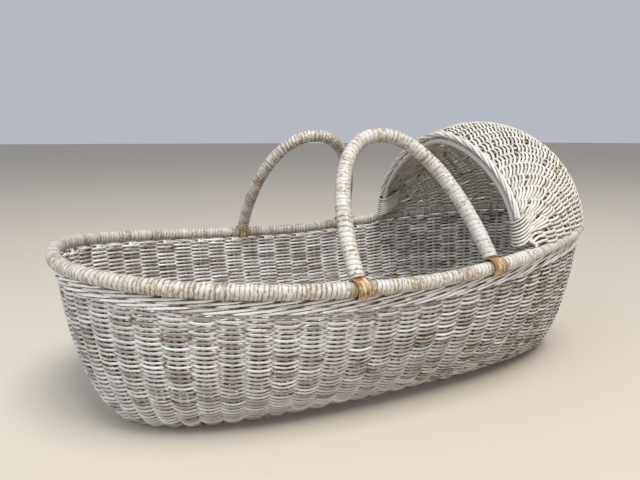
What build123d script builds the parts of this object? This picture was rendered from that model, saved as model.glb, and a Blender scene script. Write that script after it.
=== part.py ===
"""A wicker Moses basket: a woven oval basket with a bonnet hood and two swinging hoop handles.

The basket stands on its own woven base. X runs from the foot end to the hooded head end, Y across
to the left and Z up. The origin is on the floor under the middle of the basket. Sizes are in mm.
"""

import os
from bisect import bisect_left
from collections import namedtuple
from math import acos, asin, atan2, cos, dist, hypot, pi, radians, sin

from build123d import *

os.makedirs("parts", exist_ok=True)

# Overall size, over the rim
basket_length = 800.0
basket_width = 445.0

# Rim: a cane core lapped with a flat strip, thinner under the hood
rim_diameter = 16.5
head_rim_diameter = 13.5
rim_core_diameter = 8.0
rim_height = 176.0
foot_rise = 26.0
head_rise = 41.0
head_rise_power = 1.33
rim_squareness = 2.45
rim_taper = 0.05

# Base: the flat oval that the basket stands on
base_length = 680.0
base_width = 218.0
base_shift = 17.0
base_squareness = 3.2
base_taper = 0.13
base_stick_count = 5
base_stick_pitch = 12.0

# Wall: round stakes between the outer and inner floats of the weave
stake_count = 66
stake_diameter = 5.0
stake_tail = 55.0
weaver_diameter = 3.0
wale_diameter = 4.2
wale_height = 12.0
wall_flare = 0.14
wall_bands = 4

# Hood: hoops that turn about the line through the two feet of its front bow
hood_front = 174.0
hood_bow_half_width = 177.0
hood_bow_height = 145.0
hood_bow_angle = 91.0
hood_gaps = 28
hood_bands = 6
hood_roundness = 1.7
hood_border_diameter = 13.0
hood_stake_room = 3.4
hood_bow_diameter = 8.0
rim_end_setback = 6.0

# Handles: lapped hoops whose legs end in cane windings round the rim
handle_front = -91.0
handle_rear = 100.0
handle_height = 197.0
handle_lean = 34.5
handle_squareness = 2.13
handle_diameter = 18.5
handle_core_diameter = 10.0
handle_runs = 24
handle_foot_run = 26.0

# Windings
winding_diameter = 4.0
winding_turns = 3
winding_pitch = 5.0
winding_steps = 12

# Clearances
clearance = 0.3
winding_clearance = 1.0
notch_clearance = 0.6
wale_clearance = 0.9

# Outline of the rim in plan

foot_end = basket_length / 2 - rim_diameter / 2
head_end = basket_length / 2 - head_rim_diameter / 2
rim_half_length = (foot_end + head_end) / 2
rim_half_width = basket_width / 2 - rim_diameter / 2
rim_middle = (head_end - foot_end) / 2


def signed_power(value, power):
    """The power of a number that keeps its sign."""
    return abs(value) ** power if value >= 0 else -(abs(value) ** power)


def rim_outline(angle):
    """A point of the rim's centre line in plan: a superellipse that narrows toward the head."""
    along = signed_power(cos(angle), 2 / rim_squareness)
    across = signed_power(sin(angle), 2 / rim_squareness)
    x = rim_middle + rim_half_length * along
    y = rim_half_width * across * (1 - rim_taper * along)
    return x, y


def rim_level(x):
    """Height of the rim's centre line, which sweeps up to both ends."""
    along = (x - rim_middle) / rim_half_length
    if along < 0:
        return rim_height + foot_rise * along**2
    return rim_height + head_rise * along**head_rise_power


outline_step = pi / 1800
outline_angles = [i * outline_step for i in range(3601)]
outline_lengths = [0.0]
for angle in outline_angles[1:]:
    piece = dist(rim_outline(angle - outline_step), rim_outline(angle))
    outline_lengths.append(outline_lengths[-1] + piece)


def rim_angle(fraction):
    """Outline angle at a fraction of the way round the rim, counted from the head end to the left."""
    length = (fraction % 1.0) * outline_lengths[-1]
    i = max(1, bisect_left(outline_lengths, length))
    part = (length - outline_lengths[i - 1]) / (outline_lengths[i] - outline_lengths[i - 1])
    return outline_angles[i - 1] + part * outline_step


def fraction_at(x):
    """Fraction of the way round the rim, on its left side, where it passes a given length."""
    low, high = 0.0, 0.5
    for _ in range(50):
        middle = (low + high) / 2
        if rim_outline(rim_angle(middle))[0] > x:
            low = middle
        else:
            high = middle
    return low


# Stations: upright planes square to the rim, in which every wall profile is drawn

Station = namedtuple("Station", "x y z out_x out_y run roll")


def outside_base(x, y):
    """Above zero outside the base's oval and below zero inside it."""
    along = (x - base_shift) / (base_length / 2)
    half_width = base_width / 2 * (1 - base_taper * along)
    return abs(along) ** base_squareness + abs(y / half_width) ** base_squareness - 1


def station(fraction):
    """Rim centre, outward direction, run in to the base and roll radius at a place on the rim."""
    angle = rim_angle(fraction)
    x, y = rim_outline(angle)
    before = rim_outline(angle - outline_step)
    after = rim_outline(angle + outline_step)
    step = dist(before, after)
    out_x = (after[1] - before[1]) / step
    out_y = (before[0] - after[0]) / step
    low, high = 0.0, rim_half_width
    for _ in range(50):
        run = (low + high) / 2
        if outside_base(x - run * out_x, y - run * out_y) > 0:
            low = run
        else:
            high = run
    roll = head_rim_diameter / 2 if x > hood_front - rim_end_setback else rim_diameter / 2
    return Station(x, y, rim_level(x), out_x, out_y, run, roll)


def station_plane(place):
    """Plane whose X points out of the basket and whose Y points up, on the floor under the rim."""
    return Plane(
        origin=(place.x, place.y, 0),
        x_dir=(place.out_x, place.out_y, 0),
        z_dir=(place.out_y, -place.out_x, 0),
    )


def profile_face(plane, points):
    """A flat face through points of a plane."""
    with BuildSketch(plane) as profile:
        with BuildLine():
            Polyline(*points, close=True)
        make_face()
    return profile.sketch.face()


def polygon_face(plane, radius, sides, flat_radius=False):
    """A regular polygon in a plane, round its origin."""
    with BuildSketch(plane) as section:
        RegularPolygon(radius, sides, major_radius=not flat_radius)
    return section.sketch.face()


def tube_sections(points, side_dirs, radius, sides, flat_radius=False):
    """Polygons square to a path, one at each of its points."""
    sections = []
    for i, point in enumerate(points):
        ahead = points[min(i + 1, len(points) - 1)]
        behind = points[max(i - 1, 0)]
        to_ahead = (ahead - point).normalized() if i + 1 < len(points) else Vector()
        from_behind = (point - behind).normalized() if i > 0 else Vector()
        plane = Plane(origin=point, x_dir=side_dirs[i], z_dir=to_ahead + from_behind)
        sections.append(polygon_face(plane, radius, sides, flat_radius))
    return sections


stake_fractions = [i / stake_count for i in range(stake_count)]
stakes_round = [station(fraction) for fraction in stake_fractions]
gaps_round = [station(fraction + 0.5 / stake_count) for fraction in stake_fractions]

# Depths of the layers of the weave, measured in from its outside

stake_room = stake_diameter / 2 + clearance
stake_depth = weaver_diameter + stake_room
inner_face = weaver_diameter + 2 * stake_room
weave_depth = inner_face + weaver_diameter
crossing_dip = stake_room - clearance / 2


def wall_turn(place, drop):
    """Turn up the wall's curve that reaches a drop below the rim's centre."""
    return acos(drop / place.z)


def wall_curve(place, turn):
    """Point of the wall's outside in a station's plane: a quarter ellipse with a little flare."""
    out = place.run * ((1 - wall_flare) * sin(turn) + wall_flare * (1 - cos(turn)) - 1)
    return out, place.z * (1 - cos(turn))


def wall_bends(place):
    """Bends of the wall's outside, from the edge of the base to the wale, and the wale's top."""
    under_rim = place.roll + clearance
    top = wall_turn(place, under_rim + wale_height)
    turns = [top * i / wall_bands for i in range(wall_bands + 1)] + [wall_turn(place, under_rim)]
    return [wall_curve(place, turn) for turn in turns]


def inward(start, end):
    """Unit vector square to a straight run of the wall, pointing into the basket."""
    length = dist(start, end)
    return (start[1] - end[1]) / length, (end[0] - start[0]) / length


def wall_layer(place, depth):
    """The bends of the wall moved in by a depth, so that every straight run stays parallel."""
    bends = wall_bends(place)
    runs = [(0.0, 1.0)] + [inward(start, end) for start, end in zip(bends, bends[1:])]
    runs.append(runs[-1])
    layer = []
    for (out, up), before, after in zip(bends, runs, runs[1:]):
        share = 1 + before[0] * after[0] + before[1] * after[1]
        move_out = (before[0] + after[0]) / share
        move_up = (before[1] + after[1]) / share
        layer.append((out + depth * move_out, up + depth * move_up))
    return layer


def siding_section(place, near, far):
    """Cut through the plain weave at a station, between two depths."""
    outline = wall_layer(place, near)[:-1] + wall_layer(place, far)[-2::-1]
    return profile_face(station_plane(place), outline)


def wale_section(place, near, far):
    """Cut through the wale at a station, between two depths and just clear of the plain weave."""
    outline = []
    for depth in (near, far):
        low, high = wall_layer(place, depth)[-2:]
        part = wale_clearance / dist(low, high)
        low = (low[0] + part * (high[0] - low[0]), low[1] + part * (high[1] - low[1]))
        outline.append((low, high))
    return profile_face(station_plane(place), [*outline[0], *outline[1][::-1]])


def closed_ring(sections):
    """Sections of a ring, with the first one again at the end."""
    return sections + sections[:1]


# Siding: floats swell over the stakes, outside and inside, and cross half way between them


def fluted_ring(near, far, dip):
    """Sections of the plain weave, moved in by a dip where the weavers cross between two stakes."""
    sections = []
    for at_stake, at_gap in zip(stakes_round, gaps_round):
        sections.append(siding_section(at_stake, near, far))
        sections.append(siding_section(at_gap, near + dip, far + dip))
    return closed_ring(sections)


with BuildPart() as siding_outer:
    loft(fluted_ring(0, weaver_diameter, crossing_dip), ruled=True)
siding_outer.part.label = "siding_outer"
export_step(siding_outer.part, "parts/siding_outer.step")

with BuildPart() as siding_inner:
    loft(fluted_ring(inner_face, weave_depth, -crossing_dip), ruled=True)
siding_inner.part.label = "siding_inner"
export_step(siding_inner.part, "parts/siding_inner.step")

# Base: two woven skins with the stake tails and the long base sticks between them


def base_face(depth):
    """Outline of the base at a depth above the floor, just clear of the wall's layers."""
    corners = []
    for place in stakes_round:
        out = wall_layer(place, depth)[0][0] - clearance
        corners.append((place.x + out * place.out_x, place.y + out * place.out_y))
    return profile_face(Plane.XY.offset(depth), corners)


with BuildPart() as base_weave_under:
    loft([base_face(0), base_face(weaver_diameter)], ruled=True)
base_weave_under.part.label = "base_weave_under"
export_step(base_weave_under.part, "parts/base_weave_under.step")

with BuildPart() as base_weave_over:
    loft([base_face(inner_face), base_face(weave_depth)], ruled=True)
base_weave_over.part.label = "base_weave_over"
export_step(base_weave_over.part, "parts/base_weave_over.step")

stick_end_gap = stake_tail + stake_diameter
stick_length = base_length - 2 * stick_end_gap
stick_plane = Plane(origin=(base_shift - stick_length / 2, 0, stake_depth), x_dir=(0, 1, 0), z_dir=(1, 0, 0))

with BuildPart() as base_sticks:
    with BuildSketch(stick_plane):
        with GridLocations(base_stick_pitch, 1, base_stick_count, 1):
            RegularPolygon(stake_diameter / 2, 6, major_radius=False)
    extrude(amount=stick_length)
base_sticks.part.label = "base_sticks"
export_step(base_sticks.part, "parts/base_sticks.step")


winding_length = winding_pitch * winding_turns + winding_diameter


def under_winding(place):
    """True where a handle's winding goes round the rim above a stake."""
    nearest = min(abs(place.x - handle_front), abs(place.x - handle_rear))
    return nearest < winding_length / 2 + stake_diameter


def stake_points(place):
    """Path of a stake: in under the base, round the bend and up to the rim, or to a winding's notch."""
    route = [(-place.run - stake_tail, stake_depth)] + wall_layer(place, stake_depth)
    if under_winding(place):
        route.pop()
    return [Vector(place.x + out * place.out_x, place.y + out * place.out_y, up) for out, up in route]


def stake(place):
    """One stake as a four-sided rod."""
    points = stake_points(place)
    sides = [Vector(-place.out_y, place.out_x, 0)] * len(points)
    sections = tube_sections(points, sides, stake_diameter / 2, 4)
    return loft(sections, ruled=True, mode=Mode.PRIVATE)


with BuildPart() as side_stakes:
    add([stake(place) for place in stakes_round])
side_stakes.part.label = "side_stakes"
export_step(side_stakes.part, "parts/side_stakes.step")

# Rim: the thick roll goes round the foot and sides and ends at the hood, the thin one goes round the head

rim_end = fraction_at(hood_front - rim_end_setback)
front_foot = fraction_at(handle_front)
rear_foot = fraction_at(handle_rear)
handle_feet = [rear_foot, front_foot, 1 - front_foot, 1 - rear_foot]
half_run = handle_foot_run / 2 / outline_lengths[-1]


def far_from_feet(fraction):
    """True where a stake's place on the rim is clear of the straight runs at the handles' feet."""
    return min(abs(fraction - foot) for foot in handle_feet) > 2 * half_run


run_ends = [foot + way * half_run for foot in handle_feet for way in (-1, 1)]
side_fractions = [f for f in stake_fractions if rim_end < f < 1 - rim_end and far_from_feet(f)]
foot_fractions = [rim_end] + sorted(side_fractions + run_ends) + [1 - rim_end]
head_left = [f for f in stake_fractions if f < rim_end]
head_right = [f - 1 for f in stake_fractions if f > 1 - rim_end]
head_fractions = [-rim_end] + head_right + head_left + [rim_end]


def rim_sections(fractions, radius, sides, flat_radius=False):
    """Polygons round the rim's centre line at places along it."""
    sections = []
    for fraction in fractions:
        place = station(fraction)
        floor_plane = station_plane(place)
        plane = Plane((place.x, place.y, place.z), floor_plane.x_dir, floor_plane.z_dir)
        sections.append(polygon_face(plane, radius, sides, flat_radius))
    return sections


rim_bore = rim_core_diameter / 2 + clearance

with BuildPart() as rim_core:
    loft(rim_sections(foot_fractions, rim_core_diameter / 2, 6, True), ruled=True)
rim_core.part.label = "rim_core"
export_step(rim_core.part, "parts/rim_core.step")

with BuildPart() as rim_lapping:
    loft(rim_sections(foot_fractions, rim_diameter / 2, 10), ruled=True)
    loft(rim_sections(foot_fractions, rim_bore, 6, True), ruled=True, mode=Mode.SUBTRACT)
rim_lapping.part.label = "rim_lapping"
export_step(rim_lapping.part, "parts/rim_lapping.step")

with BuildPart() as head_rim_core:
    loft(rim_sections(head_fractions, rim_core_diameter / 2, 6, True), ruled=True)
head_rim_core.part.label = "head_rim_core"
export_step(head_rim_core.part, "parts/head_rim_core.step")

with BuildPart() as head_rim_lapping:
    loft(rim_sections(head_fractions, head_rim_diameter / 2, 10), ruled=True)
    loft(rim_sections(head_fractions, rim_bore, 6, True), ruled=True, mode=Mode.SUBTRACT)
head_rim_lapping.part.label = "head_rim_lapping"
export_step(head_rim_lapping.part, "parts/head_rim_lapping.step")

# Handles: each hoop's frame has its first axis along the rim and its second up the leaning hoop

HandleFrame = namedtuple("HandleFrame", "front rear middle half_chord along up out")


def foot_point(foot, side):
    """Middle of the rim's straight run at a handle's foot."""
    first = station(foot - half_run)
    second = station(foot + half_run)
    return (Vector(first.x, side * first.y, first.z) + Vector(second.x, side * second.y, second.z)) / 2


def handle_frame(side):
    """Feet, middle and directions of one handle, 1 for the left and -1 for the right."""
    front = foot_point(front_foot, side)
    rear = foot_point(rear_foot, side)
    along = (rear - front).normalized()
    lean = radians(handle_lean)
    rough_up = Vector(0, -side * sin(lean), cos(lean))
    up = (rough_up - along * rough_up.dot(along)).normalized()
    out = up.cross(along) * side
    return HandleFrame(front, rear, (front + rear) / 2, (rear - front).length / 2, along, up, out)


winding_radius = rim_diameter / 2 + winding_clearance + winding_diameter / 2
winding_corner = winding_radius / cos(pi / winding_steps)
winding_reach = winding_corner + winding_diameter / 2
leg_start = winding_reach + clearance


def hoop_points(frame):
    """Centre line of a handle's hoop, a superellipse whose legs stand on the windings."""
    power = 2 / handle_squareness
    start = asin((leg_start / handle_height) ** (1 / power))
    points = []
    for i in range(handle_runs + 1):
        angle = start + (pi - 2 * start) * i / handle_runs
        along = frame.half_chord * signed_power(cos(angle), power)
        up = handle_height * sin(angle) ** power
        points.append(frame.middle + frame.along * along + frame.up * up)
    return points


def winding_points(frame, foot):
    """Cane strand wound round the rim, with both ends on top, under the leg."""
    half = winding_pitch * winding_turns / 2
    points = []
    for i in range(winding_turns * winding_steps + 1):
        angle = 2 * pi * i / winding_steps
        along = winding_pitch * i / winding_steps - half
        ring = frame.out * (winding_corner * sin(angle)) + frame.up * (winding_corner * cos(angle))
        points.append(foot + frame.along * along + ring)
    return points


def least_self_gap(points):
    """Least gap between parts of a strand that are over half a turn from each other."""
    fine = []
    for first, second in zip(points, points[1:]):
        fine += [first + (second - first) * (k / 4) for k in range(4)]
    apart = 4 * winding_steps // 2
    pairs = [(a, b) for a in range(len(fine)) for b in range(a + apart, len(fine))]
    return min((fine[a] - fine[b]).length for a, b in pairs) - winding_diameter


frames = {"left": handle_frame(1), "right": handle_frame(-1)}
handle_bore = handle_core_diameter / 2 + clearance

for side, frame in frames.items():
    hoop = hoop_points(frame)
    flat_sides = [frame.out] * len(hoop)

    with BuildPart() as handle_core:
        loft(tube_sections(hoop, flat_sides, handle_core_diameter / 2, 6, True), ruled=True)
    handle_core.part.label = f"{side}_handle_core"
    export_step(handle_core.part, f"parts/{side}_handle_core.step")

    with BuildPart() as handle_lapping:
        loft(tube_sections(hoop, flat_sides, handle_diameter / 2, 10), ruled=True)
        loft(tube_sections(hoop, flat_sides, handle_bore, 6, True), ruled=True, mode=Mode.SUBTRACT)
    handle_lapping.part.label = f"{side}_handle_lapping"
    export_step(handle_lapping.part, f"parts/{side}_handle_lapping.step")

    for place, foot in {"front": frame.front, "rear": frame.rear}.items():
        strand = winding_points(frame, foot)
        strand_sides = [frame.along] * len(strand)
        print(f"{side} {place} winding: least gap to itself {least_self_gap(strand):.2f} mm")
        with BuildPart() as winding:
            loft(tube_sections(strand, strand_sides, winding_diameter / 2, 5), ruled=True)
        winding.part.label = f"{side}_{place}_winding"
        export_step(winding.part, f"parts/{side}_{place}_winding.step")

# Top wale: thicker strands outside and inside the stakes, notched where the windings pass under the rim

notch_radius = winding_reach + notch_clearance
notch_length = winding_length + 2 * notch_clearance

wale_outside = weaver_diameter - wale_diameter
wale_inside = inner_face + wale_diameter

with BuildPart() as top_wale:
    loft(closed_ring([wale_section(p, wale_outside, weaver_diameter) for p in stakes_round]), ruled=True)
    loft(closed_ring([wale_section(p, inner_face, wale_inside) for p in stakes_round]), ruled=True)
    for frame in frames.values():
        for foot in (frame.front, frame.rear):
            with BuildSketch(Plane(origin=foot, x_dir=frame.up, z_dir=frame.along)):
                RegularPolygon(notch_radius, winding_steps, major_radius=False)
            extrude(amount=notch_length / 2, both=True, mode=Mode.SUBTRACT)
top_wale.part.label = "top_wale"
export_step(top_wale.part, "parts/top_wale.step")

# Hood: hoops rise from the head rim to the front bow, turning about the line through the bow's feet

hood_lift = head_rim_diameter / 2 + clearance
hood_pivot = Vector(hood_front, 0, rim_level(hood_front) + hood_lift)
hood_fraction = fraction_at(hood_front)
head_reach = hypot(head_end - hood_front, rim_level(head_end) + hood_lift - hood_pivot.Z)
hood_low_angle = atan2(rim_level(head_end) + hood_lift - hood_pivot.Z, head_end - hood_front)


def hood_angle(rise):
    """Angle of a hoop's plane above the floor, from the rim at rise 0 to the front bow at rise 1."""
    return hood_low_angle + (radians(hood_bow_angle) - hood_low_angle) * rise


def hoop_flat(rise, gap):
    """Point of a hoop in its own plane: across the basket, and out from the line of the feet."""
    place = station(hood_fraction * (1 - 2 * gap / hood_gaps))
    rim_out = hypot(place.x - hood_front, place.z + hood_lift - hood_pivot.Z)
    angle = pi * gap / hood_gaps
    bow_across = hood_bow_half_width * signed_power(cos(angle), 1.2)
    bow_out = sin(angle)
    reach = head_reach + (hood_bow_height - head_reach) * rise**hood_roundness
    across = (1 - rise) * place.y + rise * bow_across
    out = reach * ((1 - rise) * rim_out / head_reach + rise * bow_out)
    return across, out


def hoop_offset(rise, gap, offset):
    """Point of a hoop moved outward in its own plane."""
    across, out = hoop_flat(rise, gap)
    before = hoop_flat(rise, gap - 0.05)
    after = hoop_flat(rise, gap + 0.05)
    step = dist(before, after)
    return across + offset * (after[1] - before[1]) / step, out - offset * (after[0] - before[0]) / step


def hoop_place(rise, gap, offset, forward=0.0):
    """Point of a hoop in the basket's frame, moved outward and ahead of its plane."""
    across, out = hoop_offset(rise, gap, offset)
    angle = hood_angle(rise)
    x = hood_pivot.X + out * cos(angle) - forward * sin(angle)
    z = hood_pivot.Z + out * sin(angle) + forward * cos(angle)
    return Vector(x, across, z)


def hoop_plane(rise):
    """Plane of a hoop, with X across the basket and Y out from the line of the feet."""
    angle = hood_angle(rise)
    return Plane(origin=hood_pivot, x_dir=(0, 1, 0), z_dir=(sin(angle), 0, -cos(angle)))


def hood_sections(gaps, near, far):
    """Cuts through a layer of the hood in the planes of its hoops."""
    sections = []
    for i in range(hood_bands + 1):
        rise = i / hood_bands
        outer = [hoop_offset(rise, gap, near) for gap in gaps]
        inner = [hoop_offset(rise, gap, far) for gap in reversed(gaps)]
        sections.append(profile_face(hoop_plane(rise), outer + inner))
    return sections


hood_bends = list(range(2, hood_gaps, 2))
hood_stake_end = 0.985
float_face = hood_stake_room + weaver_diameter

with BuildPart() as hood_weave_outer:
    loft(hood_sections(hood_bends, float_face, hood_stake_room), ruled=True)
hood_weave_outer.part.label = "hood_weave_outer"
export_step(hood_weave_outer.part, "parts/hood_weave_outer.step")

with BuildPart() as hood_weave_inner:
    loft(hood_sections(hood_bends, -hood_stake_room, -float_face), ruled=True)
hood_weave_inner.part.label = "hood_weave_inner"
export_step(hood_weave_inner.part, "parts/hood_weave_inner.step")


def hood_stake(gap):
    """One hood stake, from the head rim over to the front bow, on the straight runs of the hoops."""
    before = gap - gap % 2
    after = before + 2
    rises = [i / hood_bands for i in range(hood_bands)] + [hood_stake_end]
    sides = [hoop_place(rise, after, 0) - hoop_place(rise, before, 0) for rise in rises]
    points = [hoop_place(rise, before, 0) + side * ((gap - before) / 2) for rise, side in zip(rises, sides)]
    sections = tube_sections(points, sides, stake_diameter / 2, 4)
    return loft(sections, ruled=True, mode=Mode.PRIVATE)


with BuildPart() as hood_stakes:
    add([hood_stake(gap) for gap in range(hood_bends[0] + 1, hood_bends[-1])])
hood_stakes.part.label = "hood_stakes"
export_step(hood_stakes.part, "parts/hood_stakes.step")

# Corner bundles: the bound ends of the hood's strands at the two feet of the bow

bundle_foot = 0.2
bundle_edge = hood_bends[0] - 0.07

left_bundle = [bundle_foot, bundle_edge]
right_bundle = [hood_gaps - bundle_edge, hood_gaps - bundle_foot]

with BuildPart() as hood_corner_bundles:
    loft(hood_sections(left_bundle, float_face, -float_face), ruled=True)
    loft(hood_sections(right_bundle, float_face, -float_face), ruled=True)
hood_corner_bundles.part.label = "hood_corner_bundles"
export_step(hood_corner_bundles.part, "parts/hood_corner_bundles.step")

# Front border and bow: a braided roll on the hood's front edge, with a smooth rod inside it

border_runs = 24
border_foot = 0.26
border_ahead = hood_border_diameter / 2 + clearance
border_out = 3.5
bow_ahead = hood_bow_diameter / 2 + clearance
bow_out = border_out - (hood_border_diameter + hood_bow_diameter) / 2 - clearance


def front_path(offset, ahead):
    """Path along the hood's front edge."""
    span = hood_gaps - 2 * border_foot
    gaps = [border_foot + span * i / border_runs for i in range(border_runs + 1)]
    return [hoop_place(1, gap, offset, ahead) for gap in gaps]


front_sides = [Vector(hoop_plane(1).z_dir)] * (border_runs + 1)
border_path = front_path(border_out, border_ahead)
bow_path = front_path(bow_out, bow_ahead)

with BuildPart() as hood_border:
    loft(tube_sections(border_path, front_sides, hood_border_diameter / 2, 8), ruled=True)
hood_border.part.label = "hood_border"
export_step(hood_border.part, "parts/hood_border.step")

with BuildPart() as hood_bow:
    loft(tube_sections(bow_path, front_sides, hood_bow_diameter / 2, 8), ruled=True)
hood_bow.part.label = "hood_bow"
export_step(hood_bow.part, "parts/hood_bow.step")
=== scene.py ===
# %% [markdown]
# # A painted wicker Moses basket
# The solid model of the basket is loaded first and stays where it is. Everything that follows
# dresses it: each woven skin, which the solid model holds as a plain shell, is replaced by the real
# strands, one tube for every weaver, stake and lap, worked out on the same curves.

# %% Load the solid model
import math
from collections import namedtuple

import bpy
import numpy as np
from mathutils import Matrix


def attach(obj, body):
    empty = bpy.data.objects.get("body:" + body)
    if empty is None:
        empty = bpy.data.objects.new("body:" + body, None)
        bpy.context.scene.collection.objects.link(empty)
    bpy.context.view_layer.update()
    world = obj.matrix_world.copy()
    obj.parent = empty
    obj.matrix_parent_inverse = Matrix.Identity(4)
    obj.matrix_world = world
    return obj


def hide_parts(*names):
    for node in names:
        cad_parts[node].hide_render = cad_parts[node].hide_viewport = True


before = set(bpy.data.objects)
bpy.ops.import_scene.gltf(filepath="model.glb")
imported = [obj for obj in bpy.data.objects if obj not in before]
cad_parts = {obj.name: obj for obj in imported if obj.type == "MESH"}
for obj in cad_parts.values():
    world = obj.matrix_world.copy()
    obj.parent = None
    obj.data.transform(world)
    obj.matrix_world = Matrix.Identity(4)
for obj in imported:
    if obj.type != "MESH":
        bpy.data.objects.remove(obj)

for name in ("Cube", "Light", "Camera"):
    if name in bpy.data.objects:
        bpy.data.objects.remove(bpy.data.objects[name])
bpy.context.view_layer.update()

# %% [markdown]
# ## The rim's line
# A basket is woven up to its rim, so the rim's centre line is the curve that everything else
# hangs from. Seen from above it is a superellipse that narrows a little towards the head, and it
# sweeps up to both ends. It could be drawn by hand as a Bezier curve, but a formula gives any number
# of its points at once. Sizes are in millimetres here, and become metres when a mesh is made.

# %% The rim's centre line
basket_length, basket_width = 800.0, 445.0
rim_roll, head_roll = 8.25, 6.75
rim_height, foot_sweep, head_sweep, head_sweep_power = 176.0, 26.0, 41.0, 1.33
rim_squareness, rim_taper = 2.45, 0.05
foot_end, head_end = basket_length / 2 - rim_roll, basket_length / 2 - head_roll
rim_middle, rim_half_length = (head_end - foot_end) / 2, (head_end + foot_end) / 2
rim_half_width = basket_width / 2 - rim_roll


def signed_power(value, power):
    """The power of a number that keeps its sign."""
    return np.sign(value) * np.abs(value) ** power


def rim_plan(angle):
    """x = middle + a c, y = b s (1 - taper c), with c and s the signed powers of cosine and sine."""
    along = signed_power(np.cos(angle), 2 / rim_squareness)
    across = signed_power(np.sin(angle), 2 / rim_squareness)
    return rim_middle + rim_half_length * along, rim_half_width * across * (1 - rim_taper * along)


def rim_level(x):
    """Height of the rim: its lowest, plus 26 a^2 towards the foot and 41 a^1.33 towards the head."""
    a = (x - rim_middle) / rim_half_length
    to_head = head_sweep * np.maximum(a, 0) ** head_sweep_power
    return rim_height + np.where(a < 0, foot_sweep * a**2, to_head)


table_angle = np.linspace(0, 2 * np.pi, 7201)
table_x, table_y = rim_plan(table_angle)
table_length = np.r_[0, np.cumsum(np.hypot(np.diff(table_x), np.diff(table_y)))]
rim_length = table_length[-1]
print(f"the rim is {rim_length / 1000:.2f} m round")

# %% [markdown]
# A place on the rim is named by its fraction of the way round, from the head end to the left. At
# each place the wall stands in an upright plane square to the rim, and runs down and in to the edge
# of the flat base. That run has no formula of its own, so it is found by halving, for all the places
# at once.

# %% Places round the rim
Place = namedtuple("Place", "x y z out_x out_y run roll")
base_middle, base_half_length, base_half_width = 17.0, 340.0, 109.0
base_squareness, base_taper = 3.2, 0.13
roll_change_x, roll_change_length = 150.0, 40.0
small_angle, halvings = 0.002, 40


def outside_base(x, y):
    """Above zero outside the base's oval, |u|^3.2 + |v|^3.2 = 1, and below zero inside it."""
    u = (x - base_middle) / base_half_length
    v = y / (base_half_width * (1 - base_taper * u))
    return np.abs(u) ** base_squareness + np.abs(v) ** base_squareness - 1


def eased(share):
    """Smooth step 3 s^2 - 2 s^3, with s held between 0 and 1."""
    share = np.clip(share, 0, 1)
    return share**2 * (3 - 2 * share)


def places(fraction):
    """Rim centre, outward direction, run in to the base and roll radius at fractions of the rim."""
    angle = np.interp(np.mod(fraction, 1.0) * rim_length, table_length, table_angle)
    x, y = rim_plan(angle)
    (ax, ay), (bx, by) = rim_plan(angle + small_angle), rim_plan(angle - small_angle)
    step = np.hypot(ax - bx, ay - by)
    out_x, out_y = (ay - by) / step, (bx - ax) / step
    low, high = np.zeros_like(x), np.full_like(x, rim_half_width)
    for _ in range(halvings):
        run = (low + high) / 2
        outside = outside_base(x - run * out_x, y - run * out_y) > 0
        low, high = np.where(outside, run, low), np.where(outside, high, run)
    roll = rim_roll + (head_roll - rim_roll) * eased((x - roll_change_x) / roll_change_length)
    return Place(x, y, rim_level(x), out_x, out_y, run, roll)


# %% Where the hood and the thick roll end
hood_front, rim_end_x = 174.0, 168.0
half_round = np.linspace(0, 0.5, 2001)
half_round_x = places(half_round).x


def fraction_at(x):
    """Fraction of the way round at which the rim's left side passes an x."""
    return np.interp(-x, -half_round_x, half_round)


rim_end, hood_fraction = float(fraction_at(rim_end_x)), float(fraction_at(hood_front))
print(f"the thick roll ends at {rim_end:.3f} of the way round, the hood at {hood_fraction:.3f}")

# %% [markdown]
# ## From arrays to meshes
# Wicker is all round strands. Blender can bevel a curve into a tube, but then the strands carry no
# numbers of their own for the paint to read. So one helper makes them all: a batch of centre lines is
# an array of strands by points, and a ring of corners is set round every point.

# %% Tubes round a batch of centre lines
MM = 0.001


def unit(v):
    """Vectors divided by their lengths."""
    return v / np.maximum(np.linalg.norm(v, axis=-1, keepdims=True), 1e-9)


def tangents(centre, closed):
    """Direction along each strand, from the points on either side."""
    if closed:
        return unit(np.roll(centre, -1, 1) - np.roll(centre, 1, 1))
    return unit(np.gradient(centre, axis=1))


def tube(centre, outward, radius, sides=8, closed=False, flat=1.0):
    """Rings c + r (n cos t + flat b sin t), with n the outward direction squared to the strand."""
    along = tangents(centre, closed)
    normal = unit(outward - np.sum(outward * along, -1, keepdims=True) * along)
    side = np.cross(along, normal)
    turn = np.arange(sides) * 2 * np.pi / sides
    ring = normal[:, :, None] * np.cos(turn)[:, None] + flat * side[:, :, None] * np.sin(turn)[:, None]
    radius = np.broadcast_to(radius, centre.shape[:2])
    return centre[:, :, None] + radius[:, :, None, None] * ring, np.cos(turn)


def wall_of_quads(strands, count, sides, closed):
    """Corner numbers of the quads round the tubes, and the ring and the side of every corner."""
    rings = count if closed else count - 1
    s, i, j = np.meshgrid(np.arange(strands), np.arange(rings), np.arange(sides), indexing="ij")
    corner = [(s, i, j), (s, i, j + 1), (s, i + 1, j + 1), (s, i + 1, j)]
    number = [(a * count + b % count) * sides + c % sides for a, b, c in corner]
    quads = np.stack(number, -1).reshape(-1, 4)
    place = np.stack([np.stack((b, c), -1) for a, b, c in corner], -2).reshape(-1, 4, 2)
    return quads, place


def end_quads(strands, count, sides):
    """Strips of quads across the first and the last ring of every tube."""
    k = np.arange(sides // 2 - 1)
    strip = np.stack((-k, k + 1, k + 2, -k - 1), -1) % sides
    first = np.arange(strands)[:, None, None] * count * sides + strip
    last = first[..., ::-1] + (count - 1) * sides
    return np.concatenate((first[..., ::-1].reshape(-1, 4), last[..., ::-1].reshape(-1, 4)))


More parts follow.
